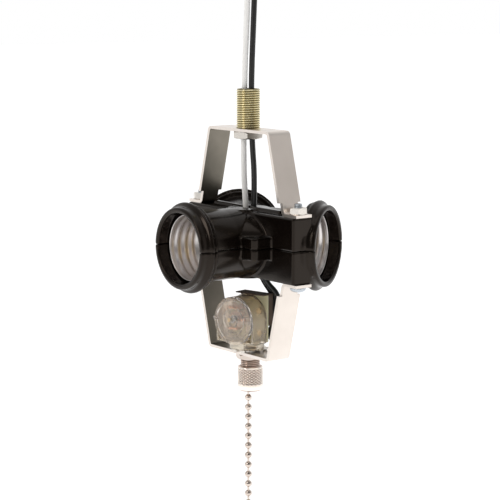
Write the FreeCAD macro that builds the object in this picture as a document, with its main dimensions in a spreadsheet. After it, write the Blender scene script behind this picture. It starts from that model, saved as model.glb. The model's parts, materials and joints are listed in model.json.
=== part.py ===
"""Heat lamp fixture: a three-socket lamp cluster on a threaded nipple, with a pull-chain switch below.

The sockets point outwards at 120 degrees, and socket 1 faces -Y. Two bent straps, one above and one
below, are clamped to the body's lugs at +X and -X by two long screws. The origin is on the nipple's
axis, halfway up its exposed thread. Each piece is drawn about the plane of the socket axes, and
node() lowers it into the part's frame.
"""

import FreeCAD
import Part
import math
import os
import re

import Sketcher
from FreeCAD import Placement, Rotation, Vector

DOC = FreeCAD.newDocument("heat_lamp_fixture")
SHEET = DOC.addObject("Spreadsheet::Sheet", "Sizes")

SIZES = {
    # nipple and its nut
    "nipple_dia": 10.2,
    "nipple_neck": 9.6,
    "nipple_bore": 7.2,
    "nipple_stub": 0.2,
    "free_thread_gap": 0.2,
    "thread_ease": 0.05,
    "nipple_top": 64.0,
    "locknut_corners": 13.6,
    "locknut_thick": 3.0,
    # bent straps
    "strap_width": 11.0,
    "strap_thick": 1.2,
    "strap_top": 47.6,
    "strap_half": 20.8,
    "strap_hole": 10.4,
    "leg_thick": 1.24,
    "ankle_reach": 29.2,
    "foot_width": 8.0,
    "foot_reach": 37.2,
    "notch_rise": 4.2,
    "notch_middle": 31.0,
    "notch_length": 16.0,
    "notch_spare": 1.0,
    "bend_outer": 2.2,
    "bend_inner": 1.0,
    # body
    "socket_reach": 36.0,
    "rim_radius": 17.0,
    "rim_depth": 3.4,
    "rim_fillet": 0.4,
    "rim_chamfer": 0.5,
    "side_draft": 0.25,
    "flange_radius": 18.8,
    "flange_reach": 31.8,
    "flange_thick": 1.6,
    "bead_radius": 17.9,
    "bead_reach": 29.4,
    "bead_thick": 1.2,
    "groove_radius": 16.7,
    "barrel_radius": 15.6,
    "neck_radius": 14.8,
    "neck_reach": 14.6,
    "bore_radius": 14.5,
    "seat_radius": 13.85,
    "seat_reach": 22.0,
    "bore_floor": 13.0,
    "bore_taper": 0.6,
    "cut_past": 0.1,
    "cutter_half": 4.0,
    "long_cutter_half": 20.0,
    "hub_radius": 20.8,
    "boss_radius": 9.0,
    "hub_height": 29.0,
    "lug_reach": 36.4,
    "lug_width": 10.0,
    "lug_height": 27.4,
    "block_reach": 22.4,
    "block_front": 14.6,
    "block_height": 9.2,
    "block_round": 2.5,
    "rib_height": 1.6,
    "rib_width": 3.0,
    "rib_reach": 23.0,
    "rib_sunk": 0.5,
    "well_radius": 10.8,
    "well_height": 21.0,
    "half_space": 60.0,
    # clamp screws
    "screw_reach": 33.4,
    "screw_dia": 3.4,
    "screw_hole": 3.8,
    "screw_tip": 19.2,
    "screw_head_dia": 6.6,
    "screw_head_thick": 2.0,
    "screw_dome": 1.2,
    "clamp_nut_corners": 7.8,
    "clamp_nut_thick": 2.8,
    # sockets
    "shell_radius": 13.3,
    "shell_wall": 0.5,
    "shell_front": 30.6,
    "shell_step": 18.0,
    "shell_base": 12.6,
    "shell_hole": 8.6,
    "tongue_width": 6.0,
    "tongue_thick": 0.6,
    "tongue_rise": 4.4,
    "tongue_heel": 2.0,
    "tongue_peak": 2.2,
    "tongue_tip": 4.2,
    "tongue_droop": 0.7,
    "rivet_side": 5.4,
    "rivet_dia": 2.0,
    "rivet_head_dia": 3.6,
    "rivet_head_thick": 0.7,
    # brass strips inside the body
    "strip_thick": 0.6,
    "spider_radius": 9.6,
    "spider_hole": 3.6,
    "spider_height": 6.4,
    "spider_leg_side": 6.3,
    "spider_leg_width": 2.6,
    "spider_leg_face": 8.4,
    "spider_leg_low": -2.2,
    "neutral_radius": 9.4,
    "neutral_hole": 7.4,
    "neutral_height": -9.7,
    "tab_width": 3.6,
    "tab_length": 5.0,
    "tab_slot_width": 4.2,
    "tab_slot_thick": 1.0,
    "tab_slot_start": 7.0,
    "tab_slot_depth": 7.0,
    # switch
    "bushing_shift_x": 0.5,
    "bushing_shift_y": 0.66,
    "case_offset": 1.9,
    "switch_turn": 12.0,
    "switch_centre": -33.0,
    "switch_radius": 10.2,
    "switch_front": 9.4,
    "switch_back": 0.8,
    "switch_wall": 1.0,
    "switch_flat": 0.6,
    "cover_thick": 1.6,
    "cover_edge": 0.5,
    "cover_rim": 1.3,
    "cover_dish": 0.4,
    "board_thick": 1.0,
    "board_margin": 0.2,
    "board_rise": 0.5,
    "fibre_thick": 0.5,
    "lid_start": -5.0,
    "lid_front": -1.6,
    "lid_length": 15.2,
    "lid_depth": 5.8,
    "skirt_length": 12.0,
    "skirt_drop": 13.0,
    "base_radius": 7.4,
    "base_low": -45.4,
    "base_height": 3.2,
    "drum_radius": 3.7,
    "drum_side": 4.2,
    "drum_thick": 2.6,
    "drum_back": 0.5,
    "axle_dia": 1.8,
    "axle_back": 1.8,
    "axle_length": 9.4,
    "bridge_length": 8.0,
    "bridge_width": 1.8,
    "bridge_front": -2.7,
    "spring_pitch": 0.8,
    "spring_length": 3.2,
    "spring_radius": 1.2,
    "spring_wire": 0.5,
    "spring_back": -3.3,
    "contact_start": -7.4,
    "contact_front": -3.6,
    "contact_length": 5.2,
    "contact_depth": 4.4,
    "contact_upper": 4.2,
    "contact_lower": -4.8,
    "board_rivet_dia": 2.6,
    "board_rivet_length": 1.0,
    "bushing_dia": 8.4,
    "bushing_bore": 5.0,
    "bushing_low": -57.0,
    "under_nut_corners": 12.6,
    "under_nut_thick": 2.4,
    "washer_radius": 6.6,
    "washer_thick": 0.8,
    "washer_ease": 0.1,
    "tooth_start": 6.2,
    "tooth_length": 1.7,
    "tooth_width": 1.6,
    "tooth_thick": 1.0,
    "bell_dia": 10.8,
    "bell_top": -53.2,
    "bell_low": -63.8,
    "bell_mouth": 5.2,
    "bell_round": 1.6,
    "bell_chamfer": 0.5,
    "bell_room": 0.6,
    "bell_shoulder": 2.0,
    # pull chain
    "bead_dia": 3.0,
    "bead_pitch": 4.2,
    "wire_dia": 0.9,
    "link_gap": 0.25,
    "link_sunk": 0.1,
    "pull_wire_end": 0.4,
    "stem_bead": -62.8,
    "stem_beads": 4,
    "chain_beads": 12,
    "tassel_dia": 5.2,
    "tassel_length": 8.2,
    "tassel_hole": 0.7,
    "tassel_neck": 2.1,
    "tassel_wall": 0.45,
    "tassel_top": 0.6,
    "tassel_flare": 1.0,
    "tassel_seat": 1.95,
    # leads
    "lead_dia": 2.4,
    "strand_dia": 1.3,
    "strand_length": 7.0,
}

for row, (alias, value) in enumerate(SIZES.items(), start=1):
    SHEET.set(f"A{row}", alias)
    SHEET.set(f"B{row}", str(value))
    SHEET.setAlias(f"B{row}", alias)
DOC.recompute()


def size(alias):
    """A driving dimension, read back from the sheet."""
    return float(getattr(SHEET, alias))


AXIS_DROP = (size("nipple_top") + size("strap_top")) / 2
SOCKET_TURNS = {1: 0.0, 2: 120.0, 3: 240.0}
SIDES = {"left": -1, "right": 1}
NODES = {}

UPRIGHT = Rotation()
UPSIDE_DOWN = Rotation(Vector(1, 0, 0), 180)
FACING_FRONT = Rotation(Vector(1, 0, 0), 90)
SAME_PLACE = 0.01
ROUGH_RADIUS = 20.0


# ---------------------------------------------------------------- helpers


def formula(text):
    """The same formula, with the sheet's name before each of its aliases."""
    return re.sub(r"[a-z_]+", lambda m: "Sizes." + m[0] if m[0] in SIZES else m[0], text)


def bind(obj, **formulas):
    """Binds an object's properties to formulas over the sheet's aliases."""
    for prop, text in formulas.items():
        obj.setExpression(prop, formula(text))
    return obj


def primitive(kind, name, at=(0, 0, 0), turn=UPRIGHT, **formulas):
    """A Part primitive with bound sizes, at a point of the socket plane's frame."""
    obj = DOC.addObject("Part::" + kind, name)
    bind(obj, **formulas)
    obj.Placement = Placement(Vector(*at), turn)
    return obj


def tube(name, outer, inner, height, at=(0, 0, 0), turn=UPRIGHT):
    """A straight tube, as one cylinder cut by another."""
    wall = primitive("Cylinder", name + "_wall", at, turn, Radius=outer, Height=height)
    hole = primitive("Cylinder", name + "_hole", at, turn, Radius=inner, Height=height)
    return cut(name + "_tube", wall, hole)


def cutter(name, middle, radius, turn=UPRIGHT, half="cutter_half"):
    """A cylinder that pierces a wall, with its middle on the wall."""
    start = Vector(*middle) - turn.multVec(Vector(0, 0, size(half)))
    return primitive("Cylinder", name, start, turn, Radius=radius, Height="2 * " + half)


def block(name, corner, length, width, height):
    """A box, from its lowest corner."""
    return primitive("Box", name, corner, Length=length, Width=width, Height=height)


def turned_to(obj, number_of_degrees):
    """Turns an object about the hub's axis."""
    spin = Placement(Vector(), Rotation(Vector(0, 0, 1), number_of_degrees))
    obj.Placement = spin.multiply(obj.Placement)
    return obj


def fuse(name, parts):
    obj = DOC.addObject("Part::MultiFuse", name)
    obj.Shapes = list(parts)
    return obj


def common(name, parts):
    obj = DOC.addObject("Part::MultiCommon", name)
    obj.Shapes = list(parts)
    return obj


def cut(name, base, tool):
    obj = DOC.addObject("Part::Cut", name)
    obj.Base = base
    obj.Tool = tool
    return obj


def compound(name, parts):
    obj = DOC.addObject("Part::Compound", name)
    obj.Links = list(parts)
    return obj


def outline(body, plane, points):
    """A closed sketch on one of its body's planes, with every corner bound to a pair of formulas.

    The corners are drawn on a circle first, and the formulas then move each one to its place."""
    sketch = body.newObject("Sketcher::SketchObject", body.Name + "_outline")
    support = next(f for f in body.Origin.OriginFeatures if f.Role == plane)
    sketch.AttachmentSupport = [(support, "")]
    sketch.MapMode = "FlatFace"
    count = len(points)
    angles = [math.tau * i / count for i in range(count)]
    rough = [Vector(math.cos(angle), math.sin(angle), 0) * ROUGH_RADIUS for angle in angles]
    for i in range(count):
        sketch.addGeometry(Part.LineSegment(rough[i], rough[(i + 1) % count]), False)
    for i in range(count):
        sketch.addConstraint(Sketcher.Constraint("Coincident", i, 2, (i + 1) % count, 1))
    for i, point in enumerate(points):
        for kind, text, value in zip(("DistanceX", "DistanceY"), point, rough[i][:2]):
            index = sketch.addConstraint(Sketcher.Constraint(kind, -1, 1, i, 1, value))
            bind(sketch, **{f"Constraints[{index}]": text})
    DOC.recompute()
    return sketch


def revolved(name, points, at=(0, 0, 0), turn=UPRIGHT):
    """A body turned about its Z axis from an outline of (radius, height) corners."""
    body = DOC.addObject("PartDesign::Body", name)
    sketch = outline(body, "XZ_Plane", points)
    feature = body.newObject("PartDesign::Revolution", name + "_turned")
    feature.Profile = sketch
    feature.ReferenceAxis = (sketch, ["V_Axis"])
    feature.Angle = 360
    body.Placement = Placement(Vector(*at), turn)
    DOC.recompute()
    return body


def padded(name, points, width):
    """A body of an outline in the XZ plane, padded evenly to both sides."""
    body = DOC.addObject("PartDesign::Body", name)
    feature = body.newObject("PartDesign::Pad", name + "_pad")
    feature.Profile = outline(body, "XZ_Plane", points)
    feature.Midplane = True
    bind(feature, Length=width)
    DOC.recompute()
    return body


def same(first, second):
    return abs(first - second) < SAME_PLACE


def edges_where(shape, test):
    """The names of the edges whose middle point passes a test."""
    found = []
    for number, edge in enumerate(shape.Edges, start=1):
        if test(edge.CenterOfMass):
            found.append(f"Edge{number}")
    return found


def rounded(body, names, radius):
    """A PartDesign fillet on a body's named edges."""
    base = body.Tip
    feature = body.newObject("PartDesign::Fillet", body.Name + "_round")
    feature.Base = (base, names)
    bind(feature, Radius=radius)
    DOC.recompute()
    return body


def edge_filleted(name, base, place, radius):
    """A solid with one edge rounded: the edge whose middle is nearest to a place."""
    DOC.recompute()
    edges = base.Shape.Edges
    nearest = min(range(len(edges)), key=lambda i: (edges[i].CenterOfMass - place).Length)
    obj = DOC.addObject("Part::Fillet", name)
    obj.Base = base
    obj.Edges = [(nearest + 1, size(radius), size(radius))]
    return obj


def feature_of(name, shape):
    """A Part::Feature that holds a shape made with Part's own functions."""
    obj = DOC.addObject("Part::Feature", name)
    obj.Shape = shape
    return obj


def node(name, obj, spot=None):
    """Names a finished piece, puts it in its place and lowers it into the part's frame."""
    obj.Label = name
    lowered = Placement(Vector(0, 0, -AXIS_DROP), UPRIGHT)
    obj.Placement = lowered.multiply(spot or Placement()).multiply(obj.Placement)
    NODES[name] = obj
    return obj


def socket_spot(number):
    """Turns what is drawn for socket 1 to another socket."""
    return Placement(Vector(), Rotation(Vector(0, 0, 1), SOCKET_TURNS[number]))


# ---------------------------------------------------------------- hanger


def make_nipple():
    """The nipple's free thread stands above the strap. Its clamped end is drawn a little slimmer."""
    free_low = size("strap_top") + size("free_thread_gap")
    low = size("strap_top") - size("strap_thick") - size("locknut_thick") - size("nipple_stub")
    thread = primitive(
        "Cylinder",
        "nipple_thread",
        (0, 0, free_low),
        Radius="nipple_dia / 2",
        Height="nipple_top - strap_top - free_thread_gap",
    )
    clamped = primitive(
        "Cylinder",
        "nipple_clamped",
        (0, 0, low),
        Radius="nipple_neck / 2",
        Height=str(free_low - low),
    )
    bore = primitive(
        "Cylinder",
        "nipple_bore_space",
        (0, 0, low),
        Radius="nipple_bore / 2",
        Height="nipple_top",
    )
    node("threaded_nipple", cut("nipple", fuse("nipple_outside", [thread, clamped]), bore))


def hex_nut(name, corners, thick, hole, at, turn_deg=0.0):
    """A hexagon nut with a plain hole a little wider than its thread."""
    turn = Rotation(Vector(0, 0, 1), turn_deg)
    prism = primitive("Prism", name + "_hex", at, turn, Circumradius=corners + " / 2", Height=thick)
    prism.Polygon = 6
    hole = primitive("Cylinder", name + "_hole", at, Radius=hole, Height=thick)
    return cut(name + "_cut", prism, hole)


def make_hanger_locknut():
    low = size("strap_top") - size("strap_thick") - size("locknut_thick")
    hole = "nipple_neck / 2 + thread_ease"
    nut = hex_nut("hanger_nut", "locknut_corners", "locknut_thick", hole, (0, 0, low), 20)
    node("hanger_locknut", nut)


def strap_points():
    """The strap's edge outline: up one leg, across the top and down the other, foot to foot."""
    seat = "lug_height / 2"
    outer = [
        ("foot_reach", seat),
        ("foot_reach", seat + " + strap_thick"),
        ("ankle_reach", seat + " + strap_thick"),
        ("strap_half", "strap_top"),
    ]
    inner = [
        ("strap_half - leg_thick", "strap_top - strap_thick"),
        ("ankle_reach - leg_thick", seat),
    ]
    right = [inner[1], *outer]
    left = [("-(" + x + ")", z) for x, z in reversed(outer)]
    left_inner = [("-(" + x + ")", z) for x, z in reversed(inner)]
    return [*right, *left, *left_inner, inner[0]]


def make_yoke(name, turn):
    body = padded(name + "_strap", strap_points(), "strap_width")
    seat = size("lug_height") / 2
    ankle = size("ankle_reach")
    top = size("strap_top")

    def outer_bend(middle):
        on_top = same(middle.z, top) and same(abs(middle.x), size("strap_half"))
        at_ankle = same(middle.z, seat) and same(abs(middle.x), ankle - size("leg_thick"))
        return (on_top or at_ankle) and same(middle.y, 0)

    def inner_bend(middle):
        under_top = same(middle.z, top - size("strap_thick"))
        on_foot = same(middle.z, seat + size("strap_thick")) and same(abs(middle.x), ankle)
        return (under_top or on_foot) and same(middle.y, 0)

    rounded(body, edges_where(body.Shape, outer_bend), "bend_outer")
    rounded(body, edges_where(body.Shape, inner_bend), "bend_inner")
    removed = [cutter(name + "_hole", (0, 0, top), "strap_hole / 2")]
    narrowing = (size("strap_width") - size("foot_width")) / 2 + size("notch_spare")
    for side, sign in SIDES.items():
        hole_at = (sign * size("screw_reach"), 0, seat)
        removed.append(cutter(f"{name}_{side}_hole", hole_at, "screw_hole / 2"))
        corner_x = sign * size("notch_middle") - size("notch_length") / 2
        for edge_name, edge_sign in (("front", -1), ("back", 1)):
            edge = edge_sign * size("foot_width") / 2
            corner_y = edge if edge_sign > 0 else edge - narrowing
            notch = block(
                f"{name}_{side}_{edge_name}_notch",
                (corner_x, corner_y, seat - size("notch_spare")),
                "notch_length",
                str(narrowing),
                "strap_thick + notch_rise + notch_spare",
            )
            removed.append(notch)
    strap = cut(name + "_cut", body, fuse(name + "_removed", removed))
    node(name, strap, Placement(Vector(), turn))


def make_clamp_hardware():
    foot_top = size("lug_height") / 2 + size("strap_thick")
    for side, sign in SIDES.items():
        x = sign * size("screw_reach")
        shank = primitive(
            "Cylinder",
            f"screw_{side}_shank",
            (x, 0, -foot_top),
            Radius="screw_dia / 2",
            Height="lug_height / 2 + strap_thick + screw_tip",
        )
        head = primitive(
            "Cylinder",
            f"screw_{side}_head",
            (x, 0, -foot_top - size("screw_head_thick")),
            Radius="screw_head_dia / 2",
            Height="screw_head_thick",
        )
        lowest = Vector(x, 0, -foot_top - size("screw_head_thick"))
        dome = edge_filleted(f"screw_{side}_dome", head, lowest, "screw_dome")
        node(f"clamp_screw_{side}", fuse(f"screw_{side}", [shank, dome]))
        nut = hex_nut(
            f"clamp_nut_{side}",
            "clamp_nut_corners",
            "clamp_nut_thick",
            "screw_dia / 2 + thread_ease",
            (x, 0, foot_top),
            25 * sign,
        )
        node(f"clamp_nut_{side}", nut)


# ---------------------------------------------------------------- moulded body


def barrel_points():
    """Half the barrel's outside: (radius, distance from the hub's axis)."""
    return [
        ("0", "0"),
        ("neck_radius", "0"),
        ("neck_radius", "neck_reach"),
        ("barrel_radius", "bead_reach - bead_thick"),
        ("bead_radius", "bead_reach - bead_thick"),
        ("bead_radius", "bead_reach"),
        ("groove_radius", "bead_reach + side_draft"),
        ("groove_radius", "flange_reach - flange_thick"),
        ("flange_radius", "flange_reach - flange_thick + side_draft"),
        ("flange_radius", "flange_reach"),
        ("rim_radius + rim_fillet", "socket_reach - rim_depth"),
        ("rim_radius", "socket_reach - rim_depth + rim_fillet"),
        ("rim_radius", "socket_reach - rim_chamfer"),
        ("rim_radius - rim_chamfer", "socket_reach"),
        ("0", "socket_reach"),
    ]


def bore_points():
    """Half the room for a lamp cap and its shell, from the floor to past the rim."""
    return [
        ("0", "bore_floor"),
        ("seat_radius", "bore_floor"),
        ("seat_radius", "seat_reach"),
        ("bore_radius", "seat_reach + bore_taper"),
        ("bore_radius", "socket_reach - bore_taper"),
        ("bore_radius + rim_chamfer", "socket_reach + cut_past"),
        ("0", "socket_reach + cut_past"),
    ]


# Where the leads pass the body's top and bottom walls: x, y and radius.
LEAD_HOLES = {"top": (0.0, 0.8, 3.6), "bottom": (5.2, 2.6, 4.2)}


def socket_shapes(number, turn_deg):
    """One barrel, and what is removed for it: the lamp's bore, the ring's slot and the rivet's hole."""
    turn = Rotation(Vector(0, 0, 1), turn_deg).multiply(FACING_FRONT)
    barrel = revolved(f"barrel_{number}", barrel_points(), turn=turn)
    bore = revolved(f"bore_{number}", bore_points(), turn=turn)
    slot_middle = size("neutral_height") + size("strip_thick") / 2
    slot_corner = (
        -size("tab_slot_width") / 2,
        -size("tab_slot_start") - size("tab_slot_depth"),
        slot_middle - size("tab_slot_thick") / 2,
    )
    slot = block(f"slot_{number}", slot_corner, "tab_slot_width", "tab_slot_depth", "tab_slot_thick")
    rivet_middle = (-size("rivet_side"), -(size("well_radius") + size("bore_floor")) / 2, 0)
    hole = cutter(f"rivet_hole_{number}", rivet_middle, "rivet_dia / 2", FACING_FRONT)
    return barrel, [bore, turned_to(slot, turn_deg), turned_to(hole, turn_deg)]


def lug_shapes(side, sign):
    """One lug's block and rib, and its screw hole."""
    reach = size("block_reach")
    front = size("block_front")
    block_corner = (0 if sign > 0 else -reach, -front, -size("block_height") / 2)
    plain = block(f"block_{side}_box", block_corner, "block_reach", "block_front", "block_height")
    shoulder = edge_filleted(f"block_{side}", plain, Vector(sign * reach, -front, 0), "block_round")
    rib_low = size("lug_height") / 2 - size("rib_sunk")
    rib_corner = (0 if sign > 0 else -size("rib_reach"), -size("rib_width") / 2, rib_low)
    rib = block(f"rib_{side}", rib_corner, "rib_reach", "rib_width", "rib_height + rib_sunk")
    hole_middle = (sign * size("screw_reach"), 0, 0)
    hole = cutter(f"screw_hole_{side}", hole_middle, "screw_hole / 2", half="long_cutter_half")
    return [shoulder, rib], hole


def make_body():
    """The moulded body, cut at the plane of the sockets into an upper and a lower half."""
    outside, removed = [], []
    for number, turn_deg in SOCKET_TURNS.items():
        barrel, spaces = socket_shapes(number, turn_deg)
        outside.append(barrel)
        removed.extend(spaces)
    for side, sign in SIDES.items():
        solids, hole = lug_shapes(side, sign)
        outside.extend(solids)
        removed.append(hole)

    hub_size = {"Radius1": "hub_height / 2", "Radius2": "hub_radius", "Radius3": "hub_radius"}
    outside.append(primitive("Ellipsoid", "hub", **hub_size))
    boss_at = (0, 0, -size("hub_height") / 2)
    outside.append(primitive("Cylinder", "boss", boss_at, Radius="boss_radius", Height="hub_height"))
    lug_corner = (-size("lug_reach"), -size("lug_width") / 2, -size("lug_height") / 2)
    outside.append(block("lugs", lug_corner, "2 * lug_reach", "lug_width", "lug_height"))

    well_at = (0, 0, -size("well_height") / 2)
    removed.append(primitive("Cylinder", "well", well_at, Radius="well_radius", Height="well_height"))
    wall_middle = (size("hub_height") + size("well_height")) / 4
    for where, (x, y, radius) in LEAD_HOLES.items():
        height = wall_middle if where == "top" else -wall_middle
        removed.append(cutter(f"{where}_lead_hole", (x, y, height), str(radius)))

    body = cut("body_block", fuse("body_outside", outside), fuse("body_removed", removed))
    reach = size("half_space")
    for name, low in (("body_upper_half", 0), ("body_lower_half", -reach)):
        corner = (-reach, -reach, low)
        space = block(name + "_space", corner, "2 * half_space", "2 * half_space", "half_space")
        node(name, common(name + "_cut", [body, space]))


# ---------------------------------------------------------------- sockets and their wiring


def shell_points():
    """Half a screw shell: a cup with a hole in its base, open to the lamp."""
    return [
        ("shell_hole", "bore_floor"),
        ("shell_base", "bore_floor"),
        ("shell_base", "shell_step - shell_wall"),
        ("shell_radius + shell_wall", "shell_step - shell_wall"),
        ("shell_radius + shell_wall", "shell_front"),
        ("shell_radius", "shell_front"),
        ("shell_radius", "shell_step"),
        ("shell_base - shell_wall", "shell_step"),
        ("shell_base - shell_wall", "bore_floor + shell_wall"),
        ("shell_hole", "bore_floor + shell_wall"),
    ]


def tongue_points():
    """The centre contact's edge outline, from its riveted foot to its raised tip."""
    return [
        ("-rivet_side - tongue_heel", "bore_floor"),
        ("-rivet_side + tongue_heel", "bore_floor"),
        ("tongue_peak", "bore_floor + tongue_rise - tongue_thick"),
        ("tongue_tip", "bore_floor + tongue_rise - 2 * tongue_droop"),
        ("tongue_tip", "bore_floor + tongue_rise - tongue_droop"),
        ("tongue_peak", "bore_floor + tongue_rise"),
        ("-rivet_side + 0.9 * tongue_heel", "bore_floor + tongue_thick"),
        ("-rivet_side - tongue_heel", "bore_floor + tongue_thick"),
    ]


def make_socket(number):
    spot = socket_spot(number)
    node(f"screw_shell_{number}", revolved(f"shell_{number}", shell_points(), turn=FACING_FRONT), spot)

    tongue = padded(f"tongue_{number}", tongue_points(), "tongue_width")
    hole_middle = (-size("rivet_side"), 0, size("bore_floor"))
    tongue_hole = cutter(f"tongue_hole_{number}", hole_middle, "rivet_dia / 2")
    pierced = cut(f"tongue_{number}_pierced", tongue, tongue_hole)
    pierced.Placement = Placement(Vector(), FACING_FRONT)
    node(f"centre_contact_{number}", pierced, spot)

    shank = primitive(
        "Cylinder",
        f"rivet_{number}_shank",
        (-size("rivet_side"), -size("spider_leg_face"), 0),
        FACING_FRONT,
        Radius="rivet_dia / 2",
        Height="bore_floor + tongue_thick + rivet_head_thick / 2 - spider_leg_face",
    )
    head = primitive(
        "Cylinder",
        f"rivet_{number}_head",
        (-size("rivet_side"), -size("bore_floor") - size("tongue_thick"), 0),
        FACING_FRONT,
        Radius="rivet_head_dia / 2",
        Height="rivet_head_thick",
    )
    node(f"contact_rivet_{number}", fuse(f"rivet_{number}", [shank, head]), spot)


def make_live_spider():
    """A brass disc with three legs, each behind one socket's rivet."""
    disc_at = (0, 0, size("spider_height"))
    parts = [tube("spider_disc", "spider_radius", "spider_hole", "strip_thick", disc_at)]
    corner = (-size("spider_leg_side"), -size("spider_leg_face"), size("spider_leg_low"))
    height = "spider_height + strip_thick - spider_leg_low"
    for number, turn_deg in SOCKET_TURNS.items():
        leg = block(f"spider_leg_{number}", corner, "spider_leg_width", "strip_thick", height)
        parts.append(turned_to(leg, turn_deg))
    node("live_spider", fuse("spider", parts))


def make_neutral_ring():
    """A brass ring with three tabs that reach the screw shells through slots in the socket floors."""
    disc_at = (0, 0, size("neutral_height"))
    parts = [tube("neutral_disc", "neutral_radius", "neutral_hole", "strip_thick", disc_at)]
    corner = (-size("tab_width") / 2, -size("bore_floor"), size("neutral_height"))
    for number, turn_deg in SOCKET_TURNS.items():
        tab = block(f"neutral_tab_{number}", corner, "tab_width", "tab_length", "strip_thick")
        parts.append(turned_to(tab, turn_deg))
    node("neutral_ring", fuse("neutral", parts))


# ---------------------------------------------------------------- switch

BUSHING_SHIFT = Vector(size("bushing_shift_x"), size("bushing_shift_y"), 0)
SWITCH_TURN = Rotation(Vector(0, 0, 1), size("switch_turn"))
CASE_SHIFT = SWITCH_TURN.multVec(Vector(-size("case_offset"), 0, 0))
SWITCH_SPOT = Placement(BUSHING_SHIFT + CASE_SHIFT, SWITCH_TURN)
PULL_LINE = SWITCH_SPOT.inverse().multVec(Vector())
DRUM_AXIS_X = PULL_LINE.x - size("drum_side")


# The terminal rivets: x, and height from the drum's axis.
BOARD_RIVETS = ((6.2, 3.6), (6.6, -5.5))
WASHER_TEETH = 12


def arch(name, radius, low, front, depth):
    """A block with a half-round top, straight sides and a flat foot."""
    centre = size("switch_centre")
    disc_at = (0, depth - front, centre)
    disc_size = {"Radius": str(radius), "Height": str(depth)}
    disc = primitive("Cylinder", name + "_disc", disc_at, FACING_FRONT, **disc_size)
    corner = (-radius, -front, low)
    width = str(2 * radius)
    foot = block(name + "_foot", corner, width, str(depth), str(centre - low))
    space = block(name + "_space", corner, width, str(depth), str(centre + radius - low))
    return common(name, [fuse(name + "_whole", [disc, foot]), space])


def make_switch_case():
    """The clear cup around the works, with the round base that stands on the lower strap."""
    radius = size("switch_radius")
    wall = size("switch_wall")
    front = size("switch_front") - size("cover_thick")
    back = size("switch_back")
    low = size("switch_centre") - radius + size("switch_flat")
    shell = arch("case_outside", radius, low, front, front + back)
    room = arch("case_room", radius - wall, low + wall, front + wall, front + back + 2 * wall)
    base_at = (0, 0, size("base_low"))
    base = primitive("Cylinder", "case_base", base_at, Radius="base_radius", Height="base_height")
    base_top = size("base_low") + size("base_height")
    bore = cutter("case_bore", (size("case_offset"), 0, base_top), "bushing_bore / 2")
    case = cut("case_bored", fuse("case_and_base", [cut("case_shell", shell, room), base]), bore)
    node("switch_case", case, SWITCH_SPOT)


def cover_points():
    """Half the round cover: a disc with a raised rim."""
    return [
        ("0", "switch_front - cover_thick"),
        ("switch_radius", "switch_front - cover_thick"),
        ("switch_radius", "switch_front - cover_edge"),
        ("switch_radius - cover_edge", "switch_front"),
        ("switch_radius - cover_rim", "switch_front"),
        ("switch_radius - cover_rim - cover_dish", "switch_front - cover_dish"),
        ("0", "switch_front - cover_dish"),
    ]


def make_switch_cover():
    centre = (0, 0, size("switch_centre"))
    node("switch_cover", revolved("cover", cover_points(), centre, FACING_FRONT), SWITCH_SPOT)


def make_switch_board():
    """The board that closes the case's back, with one square corner, and the fibre behind and above."""
    centre = size("switch_centre")
    back = size("switch_back")
    radius = size("switch_radius") + size("board_margin")
    top = size("switch_centre") + size("switch_radius") + size("board_rise")
    low = size("base_low") + size("base_height")
    rounded_part = arch("board_arch", radius, low, -back, size("board_thick"))
    width = "switch_radius + board_margin"
    height = "switch_radius + board_rise"
    square_part = block("board_corner", (0, back, centre), width, "board_thick", height)
    hole = cutter("board_axle_hole", (DRUM_AXIS_X, back, centre), "axle_dia / 2", FACING_FRONT)
    node("switch_board", cut("board_cut", fuse("board", [rounded_part, square_part]), hole), SWITCH_SPOT)

    start = size("lid_start")
    skirt_corner = (start, back + size("board_thick"), top - size("skirt_drop"))
    lid = block("shield_lid", (start, size("lid_front"), top), "lid_length", "lid_depth", "fibre_thick")
    skirt = block("shield_skirt", skirt_corner, "skirt_length", "fibre_thick", "skirt_drop")
    node("fibre_shield", fuse("shield", [lid, skirt]), SWITCH_SPOT)


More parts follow.
